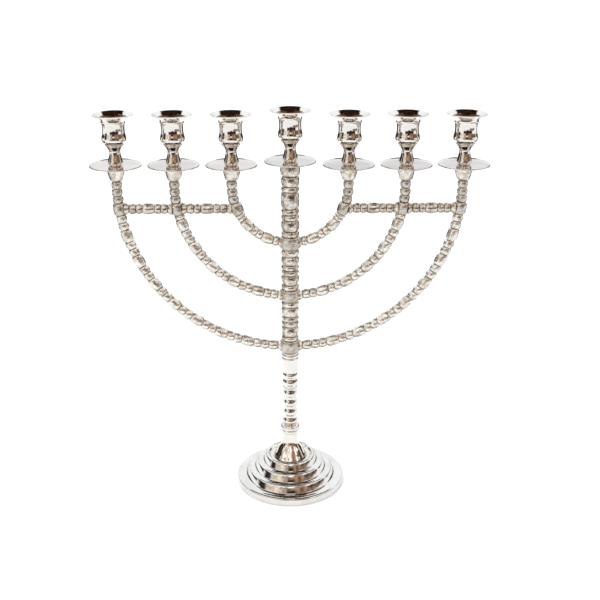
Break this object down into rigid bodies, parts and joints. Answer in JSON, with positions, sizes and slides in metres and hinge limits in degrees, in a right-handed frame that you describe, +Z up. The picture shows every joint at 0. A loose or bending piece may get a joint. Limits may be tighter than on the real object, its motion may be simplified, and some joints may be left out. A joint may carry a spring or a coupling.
{
  "type": "menorah",
  "caption": "Free-standing branched candelabrum on a stepped round foot, with drip pans and flanged screw-on candle cups on beaded curved branches.",
  "frame": {"origin": "centre of the foot, on the surface it stands on", "axes": "+Z up along the centre post, +X along the row of cups towards the right-hand branch, +Y away from the viewer"},
  "size_m": [0.3956, 0.1154, 0.4085],
  "materials": {
    "polished_plate": "mirror-polished nickel plate over brass",
    "cast_plate": "dull nickel plate over cast brass, darker in the grooves",
    "thread_steel": "plain zinc-plated steel thread"
  },
  "bodies": {
    "stand": {"base": "polished_plate", "bell": "polished_plate", "stem": "polished_plate", "outer_branch": "cast_plate", "lower_post": "cast_plate", "middle_branch": "cast_plate", "middle_post": "cast_plate", "inner_branch": "cast_plate", "upper_post": "cast_plate", "inner_crossbar_left": "cast_plate", "inner_crossbar_right": "cast_plate", "outer_crossbar_left": "cast_plate", "outer_crossbar_right": "cast_plate", "tie_rod": "thread_steel", "base_washer": "thread_steel", "base_nut": "thread_steel", "drip_pan_1": "polished_plate", "drip_pan_2": "polished_plate", "drip_pan_3": "polished_plate", "drip_pan_4": "polished_plate", "drip_pan_5": "polished_plate", "drip_pan_6": "polished_plate", "drip_pan_7": "polished_plate"},
    "cup_lift_1": {"cup_stud_1": "thread_steel"},
    "cup_1": {"candle_cup_1": "polished_plate"},
    "cup_lift_2": {"cup_stud_2": "thread_steel"},
    "cup_2": {"candle_cup_2": "polished_plate"},
    "cup_lift_3": {"cup_stud_3": "thread_steel"},
    "cup_3": {"candle_cup_3": "polished_plate"},
    "cup_lift_4": {"cup_stud_4": "thread_steel"},
    "cup_4": {"candle_cup_4": "polished_plate"},
    "cup_lift_5": {"cup_stud_5": "thread_steel"},
    "cup_5": {"candle_cup_5": "polished_plate"},
    "cup_lift_6": {"cup_stud_6": "thread_steel"},
    "cup_6": {"candle_cup_6": "polished_plate"},
    "cup_lift_7": {"cup_stud_7": "thread_steel"},
    "cup_7": {"candle_cup_7": "polished_plate"}
  },
  "joints": [
    {"name": "cup_rise_1", "type": "slide", "parent": "stand", "child": "cup_lift_1", "axis": [0, 0, 1], "range_m": [0, 0.0082]},
    {"name": "cup_unscrew_1", "type": "hinge", "parent": "cup_lift_1", "child": "cup_1", "pos_m": [-0.172, 0, 0.3537], "axis": [0, 0, 1], "range_deg": [0, 2880]},
    {"name": "cup_rise_2", "type": "slide", "parent": "stand", "child": "cup_lift_2", "axis": [0, 0, 1], "range_m": [0, 0.0082]},
    {"name": "cup_unscrew_2", "type": "hinge", "parent": "cup_lift_2", "child": "cup_2", "pos_m": [-0.115, 0, 0.3537], "axis": [0, 0, 1], "range_deg": [0, 2880]},
    {"name": "cup_rise_3", "type": "slide", "parent": "stand", "child": "cup_lift_3", "axis": [0, 0, 1], "range_m": [0, 0.0082]},
    {"name": "cup_unscrew_3", "type": "hinge", "parent": "cup_lift_3", "child": "cup_3", "pos_m": [-0.058, 0, 0.3537], "axis": [0, 0, 1], "range_deg": [0, 2880]},
    {"name": "cup_rise_4", "type": "slide", "parent": "stand", "child": "cup_lift_4", "axis": [0, 0, 1], "range_m": [0, 0.0082]},
    {"name": "cup_unscrew_4", "type": "hinge", "parent": "cup_lift_4", "child": "cup_4", "pos_m": [0, 0, 0.3574], "axis": [0, 0, 1], "range_deg": [0, 2880]},
    {"name": "cup_rise_5", "type": "slide", "parent": "stand", "child": "cup_lift_5", "axis": [0, 0, 1], "range_m": [0, 0.0082]},
    {"name": "cup_unscrew_5", "type": "hinge", "parent": "cup_lift_5", "child": "cup_5", "pos_m": [0.058, 0, 0.3537], "axis": [0, 0, 1], "range_deg": [0, 2880]},
    {"name": "cup_rise_6", "type": "slide", "parent": "stand", "child": "cup_lift_6", "axis": [0, 0, 1], "range_m": [0, 0.0082]},
    {"name": "cup_unscrew_6", "type": "hinge", "parent": "cup_lift_6", "child": "cup_6", "pos_m": [0.115, 0, 0.3537], "axis": [0, 0, 1], "range_deg": [0, 2880]},
    {"name": "cup_rise_7", "type": "slide", "parent": "stand", "child": "cup_lift_7", "axis": [0, 0, 1], "range_m": [0, 0.0082]},
    {"name": "cup_unscrew_7", "type": "hinge", "parent": "cup_lift_7", "child": "cup_7", "pos_m": [0.172, 0, 0.3537], "axis": [0, 0, 1], "range_deg": [0, 2880]}
  ],
  "couplings": [
    {"joint": "cup_rise_1", "follows": "cup_unscrew_1", "m_per_rad": 0.00015915},
    {"joint": "cup_rise_2", "follows": "cup_unscrew_2", "m_per_rad": 0.00015915},
    {"joint": "cup_rise_3", "follows": "cup_unscrew_3", "m_per_rad": 0.00015915},
    {"joint": "cup_rise_4", "follows": "cup_unscrew_4", "m_per_rad": 0.00015915},
    {"joint": "cup_rise_5", "follows": "cup_unscrew_5", "m_per_rad": 0.00015915},
    {"joint": "cup_rise_6", "follows": "cup_unscrew_6", "m_per_rad": 0.00015915},
    {"joint": "cup_rise_7", "follows": "cup_unscrew_7", "m_per_rad": 0.00015915}
  ]
}
